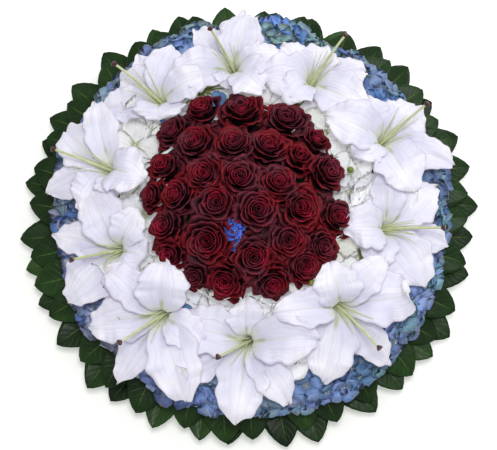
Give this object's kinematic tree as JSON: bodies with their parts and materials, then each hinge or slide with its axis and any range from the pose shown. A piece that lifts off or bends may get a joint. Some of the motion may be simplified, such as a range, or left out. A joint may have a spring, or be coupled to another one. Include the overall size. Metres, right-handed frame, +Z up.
{
  "type": "funeral wreath",
  "caption": "Round funeral wreath of fresh flowers on a foam posy pad: a dome of dark roses, a ring of white lilies, hydrangea and a collar of glossy leaves.",
  "frame": {"origin": "centre of the tray's underside", "axes": "+Z up out of the wreath's face, +Y towards the top of the face as it is looked at"},
  "size_m": [0.5665, 0.566, 0.1661],
  "materials": {
    "rose_petals": "velvety, near black in the folds with crimson rims",
    "lily_petals": "soft satin, green in the throat",
    "white_hydrangea": "matte, faintly green at the centres",
    "blue_hydrangea": "matte, blue to grey green",
    "leaves": "glossy, leathery",
    "foam": "fine open cells, soaked",
    "tray": "moulded, satin"
  },
  "bodies": {
    "root": {"rose_01": "rose_petals", "rose_02": "rose_petals", "rose_03": "rose_petals", "rose_04": "rose_petals", "rose_05": "rose_petals", "rose_06": "rose_petals", "rose_07": "rose_petals", "rose_08": "rose_petals", "rose_09": "rose_petals", "rose_10": "rose_petals", "rose_11": "rose_petals", "rose_12": "rose_petals", "rose_13": "rose_petals", "rose_14": "rose_petals", "rose_15": "rose_petals", "rose_16": "rose_petals", "rose_17": "rose_petals", "rose_18": "rose_petals", "rose_19": "rose_petals", "rose_20": "rose_petals", "rose_21": "rose_petals", "rose_22": "rose_petals", "rose_23": "rose_petals", "rose_24": "rose_petals", "rose_25": "rose_petals", "rose_26": "rose_petals", "rose_27": "rose_petals", "rose_28": "rose_petals", "rose_29": "rose_petals", "rose_30": "rose_petals", "lily_01": "lily_petals", "lily_02": "lily_petals", "lily_03": "lily_petals", "lily_04": "lily_petals", "lily_05": "lily_petals", "lily_06": "lily_petals", "lily_07": "lily_petals", "lily_08": "lily_petals", "lily_09": "lily_petals", "lily_10": "lily_petals", "blue_hydrangea_sprig": "blue_hydrangea", "white_hydrangea_01": "white_hydrangea", "white_hydrangea_02": "white_hydrangea", "white_hydrangea_03": "white_hydrangea", "white_hydrangea_04": "white_hydrangea", "white_hydrangea_05": "white_hydrangea", "blue_hydrangea_01": "blue_hydrangea", "blue_hydrangea_02": "blue_hydrangea", "blue_hydrangea_03": "blue_hydrangea", "blue_hydrangea_04": "blue_hydrangea", "blue_hydrangea_05": "blue_hydrangea", "blue_hydrangea_06": "blue_hydrangea", "camellia_leaves_01": "leaves", "camellia_leaves_02": "leaves", "camellia_leaves_03": "leaves", "camellia_leaves_04": "leaves", "camellia_leaves_05": "leaves", "camellia_leaves_06": "leaves", "floral_foam": "foam", "tray": "tray"}
  },
  "joints": []
}
